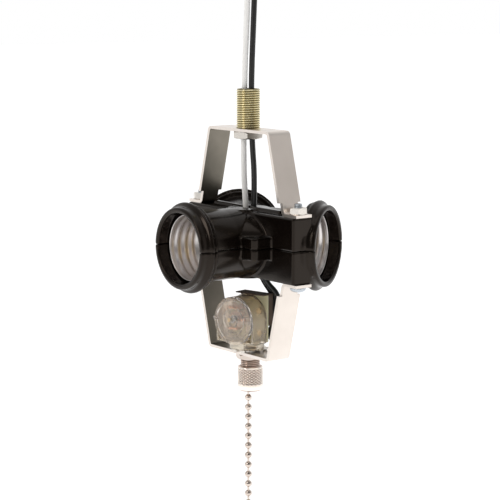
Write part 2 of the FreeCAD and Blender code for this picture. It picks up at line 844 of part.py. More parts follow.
def make_switch_works():
    """The drum and bridge on their axle, the return spring, the fixed contacts and the rivets."""
    side = DRUM_AXIS_X
    centre = size("switch_centre")
    loose_hole = "axle_dia / 2 + thread_ease"
    drum_at = (side, size("drum_back"), centre)
    drum = tube("drum", "drum_radius", loose_hole, "drum_thick", drum_at, FACING_FRONT)
    node("ratchet_drum", drum, SWITCH_SPOT)

    half_bridge = size("bridge_length") / 2
    corner = (side - half_bridge, size("bridge_front"), centre - size("bridge_width") / 2)
    bar = block("bridge_bar", corner, "bridge_length", "strip_thick", "bridge_width")
    bridge_hole = cutter("bridge_hole", (side, size("bridge_front"), centre), loose_hole, FACING_FRONT)
    node("bridge_contact", cut("bridge", bar, bridge_hole), SWITCH_SPOT)

    axle_at = (side, size("axle_back"), centre)
    axle = primitive("Cylinder", "axle", axle_at, FACING_FRONT, Radius="axle_dia / 2", Height="axle_length")
    node("drum_axle", axle, SWITCH_SPOT)

    radius = size("spring_radius")
    helix = Part.makeHelix(size("spring_pitch"), size("spring_length"), radius)
    wire_end = Part.makeCircle(size("spring_wire") / 2, Vector(radius, 0, 0), Vector(0, 1, 0))
    coil = Part.Wire(helix).makePipeShell([Part.Wire(wire_end)], True, True)
    spring = feature_of("return_spring_coil", coil)
    spring.Placement = Placement(Vector(side, size("spring_back"), centre), FACING_FRONT)
    node("return_spring", spring, SWITCH_SPOT)

    for name in ("upper", "lower"):
        corner = (size("contact_start"), size("contact_front"), centre + size(f"contact_{name}"))
        strip = block(f"{name}_strip", corner, "contact_length", "contact_depth", "strip_thick")
        node(f"fixed_contact_{name}", strip, SWITCH_SPOT)

    rivets = []
    for number, (x, height) in enumerate(BOARD_RIVETS, start=1):
        rivet = primitive(
            "Cylinder",
            f"board_rivet_{number}",
            (x, size("switch_back"), centre + height),
            FACING_FRONT,
            Radius="board_rivet_dia / 2",
            Height="board_rivet_length",
        )
        rivets.append(rivet)
    node("terminal_rivets", compound("board_rivets", rivets), SWITCH_SPOT)


def bell_points():
    """Half the bell nut: threaded onto the bushing above, with a round mouth for the chain below."""
    return [
        ("bell_mouth / 2", "bell_low"),
        ("bell_dia / 2 - bell_round", "bell_low"),
        ("bell_dia / 2 - bell_round * 0.3", "bell_low + bell_round * 0.5"),
        ("bell_dia / 2", "bell_low + bell_round * 1.4"),
        ("bell_dia / 2", "bell_top - bell_chamfer"),
        ("bell_dia / 2 - bell_chamfer", "bell_top"),
        ("bushing_dia / 2 + thread_ease", "bell_top"),
        ("bushing_dia / 2 + thread_ease", "bushing_low - bell_room"),
        ("bell_mouth / 2", "bushing_low - bell_shoulder"),
    ]


def make_bushing_and_bell():
    """The bushing that holds the switch in the lower strap, with its washer, nut and bell."""
    shift = Placement(BUSHING_SHIFT, UPRIGHT)
    seat = -size("strap_top") + size("strap_thick")
    bushing_at = (0, 0, size("bushing_low"))
    length = "base_low - bushing_low"
    bushing = tube("bushing", "bushing_dia / 2", "bushing_bore / 2", length, bushing_at)
    node("threaded_bushing", bushing, shift)

    washer_hole = "bushing_dia / 2 + washer_ease"
    washer = [tube("washer_ring", "washer_radius", washer_hole, "washer_thick", (0, 0, seat))]
    corner = (size("tooth_start"), -size("tooth_width") / 2, seat)
    for i in range(WASHER_TEETH):
        tooth = block(f"tooth_{i}", corner, "tooth_length", "tooth_width", "tooth_thick")
        washer.append(turned_to(tooth, 360 * i / WASHER_TEETH))
    node("tooth_washer", fuse("washer", washer), shift)

    low = -size("strap_top") - size("under_nut_thick")
    hole = "bushing_dia / 2 + thread_ease"
    nut = hex_nut("under_nut", "under_nut_corners", "under_nut_thick", hole, (0, 0, low), 40)
    node("bushing_locknut", nut, shift)
    node("knurled_bell", revolved("bell", bell_points()), shift)


# ---------------------------------------------------------------- pull chain


def bead_string(name, first, count):
    """Beads in a row, one pitch apart, as separate solids of one node."""
    beads = []
    for i in range(count):
        at = (0, 0, first - i * size("bead_pitch"))
        beads.append(primitive("Sphere", f"{name}_{i}", at, Radius="bead_dia / 2"))
    return beads


def link_string(name, first, count):
    """The wire between neighbouring beads, as separate solids that stop just inside the beads."""
    links = []
    radius = size("bead_dia") / 2
    for i in range(count):
        top = first - i * size("bead_pitch")
        low = top - size("bead_pitch") + radius - size("link_sunk")
        links.append(
            primitive(
                "Cylinder",
                f"{name}_{i}",
                (0, 0, low),
                Radius="wire_dia / 2",
                Height="bead_pitch - bead_dia + 2 * link_sunk",
            )
        )
    return links


def loose_link(name, bead):
    """The wire below a swivelling bead. It clears that bead and stops just inside the next."""
    low = bead - size("bead_pitch") + size("bead_dia") / 2 - size("link_sunk")
    return primitive(
        "Cylinder",
        name,
        (0, 0, low),
        Radius="wire_dia / 2",
        Height="bead_pitch - bead_dia - link_gap + link_sunk",
    )


def tassel_points():
    """Half the small bell that closes the chain, from its top downwards."""
    return [
        ("tassel_hole", "0"),
        ("tassel_neck - tassel_wall", "0"),
        ("tassel_neck", "-tassel_top"),
        ("tassel_neck", "-tassel_length * 0.4"),
        ("tassel_dia / 2", "-tassel_length + tassel_flare"),
        ("tassel_dia / 2 - tassel_wall / 2", "-tassel_length"),
        ("tassel_dia / 2 - tassel_wall", "-tassel_length"),
        ("tassel_neck - tassel_wall", "-tassel_length * 0.45"),
        ("tassel_neck - tassel_wall", "-tassel_top"),
        ("tassel_hole", "-tassel_top"),
    ]


def make_chain():
    """The pull wire and its stem beads, the swivelling bead, the hanging beads and the end bell."""
    pitch = size("bead_pitch")
    stem = size("stem_bead")
    stem_count = int(size("stem_beads"))
    top_bead = stem + (stem_count - 1) * pitch
    node("stem_beads", compound("stem_bead_group", bead_string("stem_bead_ball", top_bead, stem_count)))
    wires = link_string("stem_link", top_bead, stem_count - 1)
    pull_wire_low = top_bead + size("bead_dia") / 2 - size("link_sunk")
    pull_wire_top = size("switch_centre") + size("pull_wire_end")
    wires.append(
        primitive(
            "Cylinder",
            "pull_wire",
            (0, 0, pull_wire_low),
            Radius="wire_dia / 2",
            Height=str(pull_wire_top - pull_wire_low),
        )
    )
    node("stem_wire", compound("stem_wire_group", wires))

    first = stem - pitch
    node("swivel_bead", primitive("Sphere", "swivel_ball", (0, 0, first), Radius="bead_dia / 2"))
    node("swivel_link", loose_link("swivel_wire", stem))

    second = first - pitch
    count = int(size("chain_beads"))
    node("chain_beads", compound("chain_bead_group", bead_string("chain_ball", second, count)))
    links = [loose_link("chain_top_wire", first), *link_string("chain_wire", second, count - 1)]
    node("chain_links", compound("chain_link_group", links))

    last = second - (count - 1) * pitch
    tassel = revolved("tassel", tassel_points(), at=(0, 0, last + size("tassel_seat")))
    node("end_bell", tassel)


# ---------------------------------------------------------------- leads


def rounded_route(points, reach=0.45):
    """Straight runs joined by tangent arcs, and the arcs' radii.

    Each arc takes up a share of the shorter of its two runs, its reach."""
    edges, radii = [], []
    at = points[0]
    for before, corner, after in zip(points, points[1:], points[2:]):
        into = (corner - before).normalize()
        out = (after - corner).normalize()
        turn = into.getAngle(out)
        trim = reach * min((corner - before).Length, (after - corner).Length)
        start = corner - into * trim
        end = corner + out * trim
        radius = trim / math.tan(turn / 2)
        bisector = (out - into).normalize()
        centre = corner + bisector * (radius / math.cos(turn / 2))
        middle = centre - bisector * radius
        edges.append(Part.LineSegment(at, start).toShape())
        edges.append(Part.Arc(start, middle, end).toShape())
        radii.append(radius)
        at = end
    edges.append(Part.LineSegment(at, points[-1]).toShape())
    return Part.Wire(edges), radii


def make_lead(name, route, diameter):
    """One insulated lead along a route of points, with its length and radii printed."""
    points = [Vector(*p) for p in route]
    path, radii = rounded_route(points)
    start = (points[1] - points[0]).normalize()
    section = Part.Wire(Part.makeCircle(diameter / 2, points[0], start))
    solid = path.makePipeShell([section], True, False)
    share = solid.Volume / (math.pi * diameter**2 / 4 * path.Length)
    listed = ", ".join(f"{radius:.1f}" for radius in radii)
    print(f"{name}: {path.Length:.1f} mm, volume share {share:.4f}, radii {listed}")
    node(name, feature_of(name + "_tube", solid))


SUPPLY_ROUTES = {
    "black": [
        (1.2, 1.9, 13.0),
        (1.6, 2.2, 26.0),
        (0.9, 1.3, 42.0),
        (0.7, 1.0, 57.0),
        (0.9, 1.1, 72.0),
        (1.3, 1.5, 87.0),
        (1.5, 2.0, 101.0),
    ],
    "white": [
        (-0.8, -0.6, 13.0),
        (-1.2, -1.3, 26.0),
        (-1.3, -1.5, 42.0),
        (-1.0, -1.3, 57.0),
        (-0.8, -1.3, 72.0),
        (-0.5, -0.7, 87.0),
        (-0.1, -0.4, 101.0),
    ],
}
SWITCH_ROUTES = {
    "switch_lead_live": [
        (3.9, 2.2, -11.5),
        (4.3, 5.0, -17.0),
        (6.4, 8.2, -22.5),
        (6.8, 8.9, -29.0),
        (6.4, 8.8, -34.5),
        (5.2, 7.2, -39.2),
        (4.4, 4.15, -40.9),
    ],
    "switch_lead_load": [
        (6.4, 1.6, -11.5),
        (7.6, 3.6, -16.8),
        (10.2, 7.6, -21.5),
        (10.6, 8.8, -28.0),
        (9.9, 8.6, -34.0),
        (8.6, 7.2, -39.0),
        (7.4, 4.95, -40.9),
    ],
}


def make_leads():
    for colour, route in SUPPLY_ROUTES.items():
        make_lead(f"supply_lead_{colour}", route, size("lead_dia"))
        last, end = Vector(*route[-2]), Vector(*route[-1])
        strand = primitive(
            "Cylinder",
            f"{colour}_strand",
            end,
            Rotation(Vector(0, 0, 1), end - last),
            Radius="strand_dia / 2",
            Height="strand_length",
        )
        node(f"bare_strands_{colour}", strand)
    for name, route in SWITCH_ROUTES.items():
        make_lead(name, route, size("lead_dia"))


# ---------------------------------------------------------------- the whole object


def main():
    make_nipple()
    make_hanger_locknut()
    make_yoke("upper_yoke", UPRIGHT)
    make_yoke("lower_yoke", UPSIDE_DOWN)
    make_clamp_hardware()
    make_body()
    for number in SOCKET_TURNS:
        make_socket(number)
    make_live_spider()
    make_neutral_ring()
    make_switch_case()
    make_switch_cover()
    make_switch_board()
    make_switch_works()
    make_bushing_and_bell()
    make_chain()
    make_leads()
    DOC.recompute()

    for obj in DOC.Objects:
        if "Invalid" in obj.State or "Error" in obj.State:
            raise RuntimeError(f"{obj.Name} failed: {obj.State}")
    os.makedirs("parts", exist_ok=True)
    for name, obj in NODES.items():
        shape = obj.Shape
        if shape.isNull() or not shape.isValid() or not shape.Solids:
            raise RuntimeError(f"{name} is not a valid solid")
        shape.exportStep(f"parts/{name}.step")
    print(f"{len(NODES)} nodes written")


main()
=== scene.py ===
import json
import math

import bmesh
import bpy
from mathutils import Matrix, Vector


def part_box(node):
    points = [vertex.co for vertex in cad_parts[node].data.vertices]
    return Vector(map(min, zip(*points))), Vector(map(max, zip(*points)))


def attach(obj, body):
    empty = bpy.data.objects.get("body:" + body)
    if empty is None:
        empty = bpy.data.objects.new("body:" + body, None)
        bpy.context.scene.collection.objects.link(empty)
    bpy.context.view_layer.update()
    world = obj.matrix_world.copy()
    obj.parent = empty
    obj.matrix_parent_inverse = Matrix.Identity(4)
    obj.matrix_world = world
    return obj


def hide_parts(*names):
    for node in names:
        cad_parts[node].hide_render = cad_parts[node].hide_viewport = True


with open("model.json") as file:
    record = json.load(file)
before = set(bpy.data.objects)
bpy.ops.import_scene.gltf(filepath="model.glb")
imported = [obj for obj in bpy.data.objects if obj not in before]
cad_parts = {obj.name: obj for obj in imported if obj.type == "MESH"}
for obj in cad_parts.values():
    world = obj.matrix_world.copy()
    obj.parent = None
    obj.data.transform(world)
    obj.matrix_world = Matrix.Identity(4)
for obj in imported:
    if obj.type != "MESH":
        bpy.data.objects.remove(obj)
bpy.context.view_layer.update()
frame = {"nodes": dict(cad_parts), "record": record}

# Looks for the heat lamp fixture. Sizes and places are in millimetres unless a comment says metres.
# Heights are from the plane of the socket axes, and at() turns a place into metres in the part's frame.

MM = 0.001
TAU = math.tau
AXIS_DROP = 55.8  # how far the socket axes lie below the part's origin
WELD = 0.004  # points closer together than this become one
ON_AXIS = 0.001  # radius of an outline's points on its axis, which the weld then joins
BUSHING = (0.5, 0.66, 0)  # where the axis of the switch's bushing crosses the socket plane


def at(x, y, z):
    """A point given in millimetres from the socket plane, in the part's frame."""
    return Vector((x, y, z - AXIS_DROP)) * MM


# ---------------------------------------------------------------- materials


class Paint:
    """A node material under construction."""

    def __init__(self, name):
        self.material = bpy.data.materials.new(name)
        self.material.use_nodes = True
        self.tree = self.material.node_tree
        self.shader = self.tree.nodes["Principled BSDF"]
        source = self.add("ShaderNodeTexCoord")
        self.coords = source.outputs["Object"]
        self.normal = source.outputs["Normal"]

    def add(self, kind, **values):
        node = self.tree.nodes.new(kind)
        for key, value in values.items():
            setattr(node, key, value)
        return node

    def link(self, source, target):
        self.tree.links.new(source, target)

    def set(self, **values):
        """Sets the shader's own numbers and colours."""
        for key, value in values.items():
            self.shader.inputs[key.replace("_", " ")].default_value = value

    def vector(self, operation, first, second=None):
        """The output of a vector operation, whose second operand is a constant or another output."""
        node = self.add("ShaderNodeVectorMath", operation=operation)
        self.link(first, node.inputs[0])
        if isinstance(second, tuple):
            node.inputs[1].default_value = second
        elif second is not None:
            self.link(second, node.inputs[1])
        return node.outputs["Value" if operation in ("DOT_PRODUCT", "LENGTH") else "Vector"]

    def noise(self, scale, detail=4.0, rough=0.55, stretch=None):
        """Noise over the part. A stretch of less than 1 draws it out along that axis."""
        node = self.add("ShaderNodeTexNoise")
        node.inputs["Scale"].default_value = scale
        node.inputs["Detail"].default_value = detail
        node.inputs["Roughness"].default_value = rough
        place = self.vector("MULTIPLY", self.coords, stretch) if stretch else self.coords
        self.link(place, node.inputs["Vector"])
        return node.outputs["Fac"]

    def tones(self, fac, dark, light, low=0.3, high=0.7):
        """A colour that goes from dark to light as a factor goes from low to high."""
        node = self.add("ShaderNodeValToRGB")
        for element, place, colour in zip(node.color_ramp.elements, (low, high), (dark, light)):
            element.position = place
            element.color = (*colour, 1)
        self.link(fac, node.inputs["Fac"])
        return node.outputs["Color"]

    def share(self, value, low, high):
        """How far a value has come from low to high: 0 to 1."""
        node = self.add("ShaderNodeMapRange")
        node.inputs["From Min"].default_value = low
        node.inputs["From Max"].default_value = high
        self.link(value, node.inputs["Value"])
        return node.outputs["Result"]

    def colour(self, source):
        self.link(source, self.shader.inputs["Base Color"])

    def roughness(self, fac, low, high):
        node = self.add("ShaderNodeMapRange")
        node.inputs["To Min"].default_value = low
        node.inputs["To Max"].default_value = high
        self.link(fac, node.inputs["Value"])
        self.link(node.outputs["Result"], self.shader.inputs["Roughness"])

    def bump(self, fac, strength, depth):
        node = self.add("ShaderNodeBump")
        node.inputs["Strength"].default_value = strength
        node.inputs["Distance"].default_value = depth * MM
        self.link(fac, node.inputs["Height"])
        self.link(node.outputs["Normal"], self.shader.inputs["Normal"])


CLOUD = 45  # scale of the slow change of tone over a metal surface


def strap_metal_shaded_inside(name, outside, inside):
    """Zinc that is bright outside, with painted shade on the faces turned towards the middle of the object,
    standing in for the dark body they face.

    A face is turned inwards where its normal points against its place as seen from the middle of
    the sockets. Height counts for little in that."""
    height_weight = 0.15
    surely_inside, surely_outside = -12, -3
    paint = Paint(name)
    paint.set(Metallic=1.0)
    from_middle = paint.vector("ADD", paint.coords, (0, 0, AXIS_DROP * MM))
    flattened = paint.vector("MULTIPLY", from_middle, (1, 1, height_weight))
    outward = paint.vector("DOT_PRODUCT", flattened, paint.normal)
    cloud = paint.noise(CLOUD, detail=3)
    # Painted shade: faces turned inwards take the dark inside colours.
    mix = paint.add("ShaderNodeMix", data_type="RGBA")
    paint.link(paint.share(outward, surely_inside * MM, surely_outside * MM), mix.inputs["Factor"])
    paint.link(paint.tones(cloud, *inside), mix.inputs["A"])
    paint.link(paint.tones(cloud, *outside), mix.inputs["B"])
    paint.colour(mix.outputs["Result"])
    grain = paint.noise(420, detail=5, rough=0.6, stretch=(1, 1, 0.12))
    paint.roughness(grain, 0.26, 0.42)
    paint.bump(grain, strength=0.25, depth=0.04)
    return paint.material


def metal(name, dark, light, rough, scale=240, bump=0.2):
    """Plated or bare metal with fine grain and slightly uneven tone."""
    paint = Paint(name)
    paint.set(Metallic=1.0)
    grain = paint.noise(scale, detail=5, rough=0.6)
    paint.colour(paint.tones(paint.noise(CLOUD, detail=3), dark, light))
    paint.roughness(grain, rough * 0.75, rough * 1.3)
    paint.bump(grain, strength=0.25, depth=bump)
    return paint.material


def metal_shaded_in_grooves(name, groove, crest, rough, low, high, centre=(0, 0)):
    """Metal round an upright axis, with painted shade in its grooves, at radius low, fading to the crest
    colour at high.
    """
    paint = Paint(name)
    paint.set(Metallic=1.0)
    centred = paint.vector("SUBTRACT", paint.coords, (centre[0] * MM, centre[1] * MM, 0))
    radius = paint.vector("LENGTH", paint.vector("MULTIPLY", centred, (1, 1, 0)))
    # Painted shade: the colour darkens from the crest colour to the groove colour as the radius falls.
    depth = paint.share(radius, low * MM, high * MM)
    paint.colour(paint.tones(depth, groove, crest, low=0.1, high=0.85))
    grain = paint.noise(600)
    paint.roughness(grain, rough * 0.75, rough * 1.3)
    paint.bump(grain, strength=0.2, depth=0.03)
    return paint.material


def plastic(name, dark, light, rough, coat=0.0, bump=0.06, scale=160, gloss=0.5, tint=(1, 1, 1)):
    """Moulded or extruded plastic. The tint colours its reflections."""
    paint = Paint(name)
    grain = paint.noise(scale)
    paint.colour(paint.tones(paint.noise(30, detail=2), dark, light))
    paint.roughness(grain, rough * 0.8, rough * 1.25)
    paint.bump(grain, strength=0.3, depth=bump)
    paint.set(Coat_Weight=coat, Coat_Roughness=0.06, Specular_IOR_Level=gloss, Specular_Tint=(*tint, 1))
    return paint.material


def clear(name, tint, rough, ior, weight, bump=0.1):
    """Clear moulded plastic. A deeper bump breaks up what is seen through it."""
    paint = Paint(name)
    paint.set(Transmission_Weight=weight, IOR=ior)
    paler = tuple(min(1, channel * 1.05) for channel in tint)
    paint.colour(paint.tones(paint.noise(60, detail=2), tint, paler))
    paint.roughness(paint.noise(300, detail=3), rough * 0.6, rough * 1.4)
    paint.bump(paint.noise(700, detail=2), strength=0.3, depth=bump)
    return paint.material


RECIPES = {
    "yellow_zinc": (metal, dict(dark=(0.50, 0.44, 0.20), light=(0.72, 0.62, 0.34), rough=0.24, scale=300)),
    "bright_zinc": (metal, dict(dark=(0.66, 0.62, 0.57), light=(0.80, 0.76, 0.71), rough=0.28)),
    "screw_steel": (metal, dict(dark=(0.42, 0.46, 0.50), light=(0.62, 0.66, 0.70), rough=0.26)),
    "nickel": (metal, dict(dark=(0.62, 0.53, 0.47), light=(0.76, 0.67, 0.60), rough=0.15, bump=0.03)),
    "shell_aluminium": (
        metal,
        dict(dark=(0.76, 0.72, 0.70), light=(0.86, 0.82, 0.80), rough=0.32, scale=350, bump=0.02),
    ),
    "contact_brass": (metal, dict(dark=(0.60, 0.44, 0.20), light=(0.80, 0.63, 0.34), rough=0.28)),
    "copper": (metal, dict(dark=(0.66, 0.32, 0.18), light=(0.86, 0.48, 0.30), rough=0.24, scale=600)),
    "phenolic": (
        plastic,
        dict(
            dark=(0.003, 0.002, 0.0015),
            light=(0.006, 0.004, 0.003),
            rough=0.17,
            bump=0.1,
            scale=55,
            gloss=0.3,
            tint=(1.0, 0.84, 0.72),
        ),
    ),
    "black_insulation": (
        plastic,
        dict(dark=(0.004, 0.004, 0.004), light=(0.008, 0.007, 0.006), rough=0.3),
    ),
    "white_insulation": (
        plastic,
        dict(dark=(0.93, 0.92, 0.90), light=(0.97, 0.96, 0.94), rough=0.38, coat=0.1),
    ),
    "cream_plastic": (
        plastic,
        dict(dark=(0.78, 0.58, 0.46), light=(0.90, 0.74, 0.62), rough=0.3, coat=0.2),
    ),
    "olive_board": (plastic, dict(dark=(0.72, 0.67, 0.42), light=(0.84, 0.78, 0.53), rough=0.45)),
    "brown_fibre": (
        plastic,
        dict(dark=(0.10, 0.065, 0.045), light=(0.19, 0.13, 0.09), rough=0.7, bump=0.2, scale=420),
    ),
    # The groove colours of the next three are painted shade in the hollows of their threads and knurl.
    "nipple_zinc": (
        metal_shaded_in_grooves,
        dict(groove=(0.30, 0.25, 0.12), crest=(0.92, 0.83, 0.55), rough=0.22, low=4.65, high=5.05),
    ),
    "bushing_nickel": (
        metal_shaded_in_grooves,
        dict(
            groove=(0.16, 0.11, 0.09),
            crest=(0.70, 0.58, 0.50),
            rough=0.22,
            low=3.85,
            high=4.15,
            centre=BUSHING[:2],
        ),
    ),
    "knurled_nickel": (
        metal_shaded_in_grooves,
        dict(
            groove=(0.46, 0.34, 0.28),
            crest=(1.0, 0.93, 0.86),
            rough=0.18,
            low=4.9,
            high=5.25,
            centre=BUSHING[:2],
        ),
    ),
    "strap_zinc": (
        strap_metal_shaded_inside,
        dict(
            outside=[(0.78, 0.71, 0.65), (0.88, 0.81, 0.75)],
            # The inside colours are painted shade, not a second finish of the zinc.
            inside=[(0.19, 0.175, 0.145), (0.27, 0.245, 0.205)],
        ),
    ),
    "clear_cover": (clear, dict(tint=(1.0, 0.92, 0.87), rough=0.05, ior=1.45, weight=0.9, bump=0.7)),
    "clear_case": (clear, dict(tint=(0.95, 0.86, 0.72), rough=0.16, ior=1.35, weight=0.74)),
}
MATERIALS = {name: recipe(name, **values) for name, (recipe, values) in RECIPES.items()}

STRAPS = ("upper_yoke", "lower_yoke")
SLOT_OF = {entry["node"]: entry["material_slot"] for entry in frame["record"]["subparts"]}
BODY_OF = {n: body for body, nodes in frame["record"]["behaviour"]["bodies"].items() for n in nodes}

for cad_node, cad_slot in SLOT_OF.items():
    cad_mesh = frame["nodes"][cad_node].data
    cad_mesh.materials.clear()
    cad_mesh.materials.append(MATERIALS["strap_zinc" if cad_node in STRAPS else cad_slot])


# ---------------------------------------------------------------- pieces


def finished(name, mesh, node, smooth=True, finish=None, replaces=True):
    """Links a mesh as a piece on the CAD node's body, in place of the node unless told otherwise.

    It has the node's own slot, and that slot's material unless another finish is named."""
    for face in mesh.polygons:
        face.use_smooth = smooth
    piece = bpy.data.objects.new(name, mesh)
    bpy.context.scene.collection.objects.link(piece)
    mesh.materials.clear()
    mesh.materials.append(MATERIALS[finish or SLOT_OF[node]])
    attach(piece, BODY_OF[node])
    if replaces:
        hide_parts(node)
    return piece


def creased(piece, degrees=32):
    """Smooth shading that keeps edges sharper than an angle."""
    piece.data.set_sharp_from_angle(angle=math.radians(degrees))
    return piece


def roll_edges(piece, width):
    """Rolls a piece's edges over with a bevel that leaves its mesh as it is."""
    bevel = piece.modifiers.new("edge", "BEVEL")
    bevel.width = width * MM
    bevel.segments = 2
    bevel.limit_method = "ANGLE"
    bevel.angle_limit = math.radians(40)


def mesh_of(name, verts, faces):
    """A mesh with its doubled points joined and its faces turned outwards."""
    mesh = bpy.data.meshes.new(name)
    mesh.from_pydata([tuple(v) for v in verts], [], faces)
    shape = bmesh.new()
    shape.from_mesh(mesh)
    bmesh.ops.remove_doubles(shape, verts=shape.verts, dist=WELD * MM)
    bmesh.ops.recalc_face_normals(shape, faces=shape.faces)
    shape.to_mesh(mesh)
    shape.free()
    mesh.validate()
    mesh.update()
    return mesh


def upward(direction, base):
    """The matrix that stands a shape drawn along +Z (in millimetres) at a base point, along a direction."""
    turn = Vector((0, 0, 1)).rotation_difference(Vector(direction).normalized())
    return Matrix.Translation(at(*base)) @ turn.to_matrix().to_4x4() @ Matrix.Scale(MM, 4)


UP = upward((0, 0, 1), (0, 0, 0))


def polar(radius, angle, height):
    """A point at a radius, at an angle round the Z axis."""
    return Vector((radius * math.cos(angle), radius * math.sin(angle), height))


def ring_faces(around, count):
    """The faces between closed outlines of count points each, set in a ring."""
    faces = []
    for i in range(around):
        here = i * count
        there = (i + 1) % around * count
        for j in range(count):
            k = (j + 1) % count
            faces.append((here + j, here + k, there + k, there + j))
    return faces


def lathe(profile, place, around=64, shift=None):
    """Vertices and faces of a closed profile of (radius, height) points, turned about Z.

    shift(angle, radius, height) returns a changed radius, such as a thread's or a knurl's."""
    verts = []
    for i in range(around):
        angle = TAU * i / around
        for radius, height in profile:
            if shift:
                radius = shift(angle, radius, height)
            verts.append(place @ polar(radius, angle, height))
    return verts, ring_faces(around, len(profile))


def merged(*groups):
    """Several groups of vertices and faces as one."""
    verts, faces = [], []
    for more_verts, more_faces in groups:
        offset = len(verts)
        verts += more_verts
        faces += [tuple(i + offset for i in face) for face in more_faces]
    return verts, faces


def rows(low, high, step):
    """Heights from low to high, about a step apart."""
    count = max(2, round((high - low) / step))
    return [low + (high - low) * i / count for i in range(count + 1)]


def wave(phase, sharp=1.0):
    """A thread's section: 0 in the root, 1 on the crest, once per turn of the phase."""
    zigzag = 1 - abs(2 * (phase % 1) - 1)
    return min(1.0, max(0.0, (zigzag - 0.5) * sharp + 0.5))


def threaded(outer, depth, pitch, low, high, place, bore=0.0, chamfer=0.6, around=72):
    """A rod, or a tube if it has a bore, with an outside screw thread."""
    flank = 1.35
    rows_per_turn = 8
    edge = 0.15
    inset = 0.05
    face = outer - depth - inset

    def cut(angle, radius, height):
        if radius < outer:
            return radius
        crest = wave(height / pitch - angle / TAU, flank)
        end = min(height - low, high - height)
        return min(outer - depth * (1 - crest), outer - max(0.0, chamfer - end))

    wall = [(outer, z) for z in rows(low, high, pitch / rows_per_turn)]
    if bore:
        top = [(face, high), (bore + edge, high), (bore, high - edge)]
        bottom = [(bore, low + edge), (bore + edge, low), (face, low)]
    else:
        top = [(face, high), (ON_AXIS, high)]
        bottom = [(ON_AXIS, low), (face, low)]
    return lathe([*wall, *top, *bottom], place, around, cut)


def hexagon(flat, low, high, bore, place, turn=0.0):
    """A hexagon nut with its corners and its bore chamfered. flat is from the axis to a flat."""
    around = 72
    edge = 0.35
    corner_slope = 0.6
    least_drop = 0.1
    rim = flat * 0.965
    verts = []
    for i in range(around):
        angle = TAU * i / around
        off_flat = (angle + math.pi / 6) % (math.pi / 3) - math.pi / 6
        side = flat / math.cos(off_flat)
        drop = (side - flat) * corner_slope + least_drop
        profile = [(side, low + drop), (side, high - drop), (rim, high), (bore + edge, high)]
        profile += [(bore, high - edge), (bore, low + edge), (bore + edge, low), (rim, low)]
        verts += [place @ polar(radius, angle + turn, height) for radius, height in profile]
    return verts, ring_faces(around, len(profile))


# ---------------------------------------------------------------- hanger

THREADS_PER_INCH = 27
INCH = 25.4
CLAMP_OFFSET = 33.4  # how far each clamp screw stands to the side


def make_nipple():
    parts = threaded(
        outer=5.1,
        depth=0.5,
        pitch=INCH / THREADS_PER_INCH,
        low=43.2,
        high=64.0,
        place=UP,
        bore=3.6,
        around=96,
    )
    nipple = finished("nipple", mesh_of("nipple", *parts), "threaded_nipple", finish="nipple_zinc")
    creased(nipple, degrees=85)


def make_top_locknut():
    parts = hexagon(flat=5.89, low=43.4, high=46.4, bore=5.15, place=UP, turn=math.radians(50))
    creased(finished("top_locknut", mesh_of("top_locknut", *parts), "hanger_locknut"))


def make_clamp(side, sign):
    """One of the two long screws that hold the straps' feet to the body, and its nut."""
    place = upward((0, 0, 1), (CLAMP_OFFSET * sign, 0, 0))
    turn = math.radians(25 * sign + 30)
    nut = mesh_of("nut", *hexagon(flat=3.37, low=14.9, high=17.7, bore=1.75, place=place, turn=turn))
    creased(finished(f"screw_nut_{side}", nut, f"clamp_nut_{side}"))

    seat = -14.9
    shank = threaded(
        outer=1.7, depth=0.25, pitch=0.79, low=seat, high=19.2, place=place, chamfer=0.4, around=32
    )
    outline = [(ON_AXIS, seat), (3.2, seat), (3.3, seat - 0.2), (3.28, seat - 0.9), (2.9, seat - 1.5)]
    outline += [(2.1, seat - 1.9), (0.95, seat - 2.0), (0.9, seat - 1.0), (ON_AXIS, seat - 0.8)]
    head = lathe(outline, place, around=48)
    screw = mesh_of("screw", *merged(shank, head))
    creased(finished(f"screw_{side}", screw, f"clamp_screw_{side}"))


# ---------------------------------------------------------------- body


def remoulded(name, node):
    """A CAD node's shape with the soft corners and fillets of a moulding."""
    mesh = frame["nodes"][node].data.copy()
    piece = bpy.data.objects.new(name, mesh)
    bpy.context.scene.collection.objects.link(piece)
    remesh = piece.modifiers.new("remesh", "REMESH")
    remesh.mode = "VOXEL"
    remesh.voxel_size = 0.42 * MM
    smooth = piece.modifiers.new("smooth", "SMOOTH")
    smooth.factor = 0.5
    smooth.iterations = 6
    depsgraph = bpy.context.evaluated_depsgraph_get()
    made = bpy.data.meshes.new_from_object(piece.evaluated_get(depsgraph))
    bpy.data.objects.remove(piece)
    finished(name, made, node)


# ---------------------------------------------------------------- sockets

SOCKETS = (1, 2, 3)


def make_shell(number):
    """A screw shell: a rolled thread that fades out towards a rolled lip, and a stepped floor."""
    turn = TAU * (number - 1) / len(SOCKETS)
    place = upward((math.sin(turn), -math.cos(turn), 0), (0, 0, 0))
    pitch = 3.63
    depth = 0.72
    base, front = 18.2, 30.6
    fade_end, fade = 0.4, 1.4
    step = 0.3

    def roll(angle, radius, height):
        if height < base:
            return radius
        full = min(1.0, max(0.0, (front - fade_end - height) / fade))
        crest = 0.5 - 0.5 * math.cos(TAU * (height / pitch - angle / TAU))
        return radius - depth * (1 - crest) * full

    inner = [(13.32, z) for z in rows(base, front, step)]
    outer = [(13.75, z) for z in reversed(rows(base, front, 2 * step))]
    lip = [(13.5, front + 0.22), (13.9, front + 0.05)]
    floor = [(12.55, 17.6), (12.55, 13.05), (8.6, 13.05), (8.6, 13.5)]
    floor += [(11.6, 13.5), (12.1, 13.9), (12.1, 18.0)]
    parts = lathe([*inner, *lip, *outer, *floor], place, around=96, shift=roll)
    finished(f"rolled_shell_{number}", mesh_of("shell", *parts), f"screw_shell_{number}")


# ---------------------------------------------------------------- switch

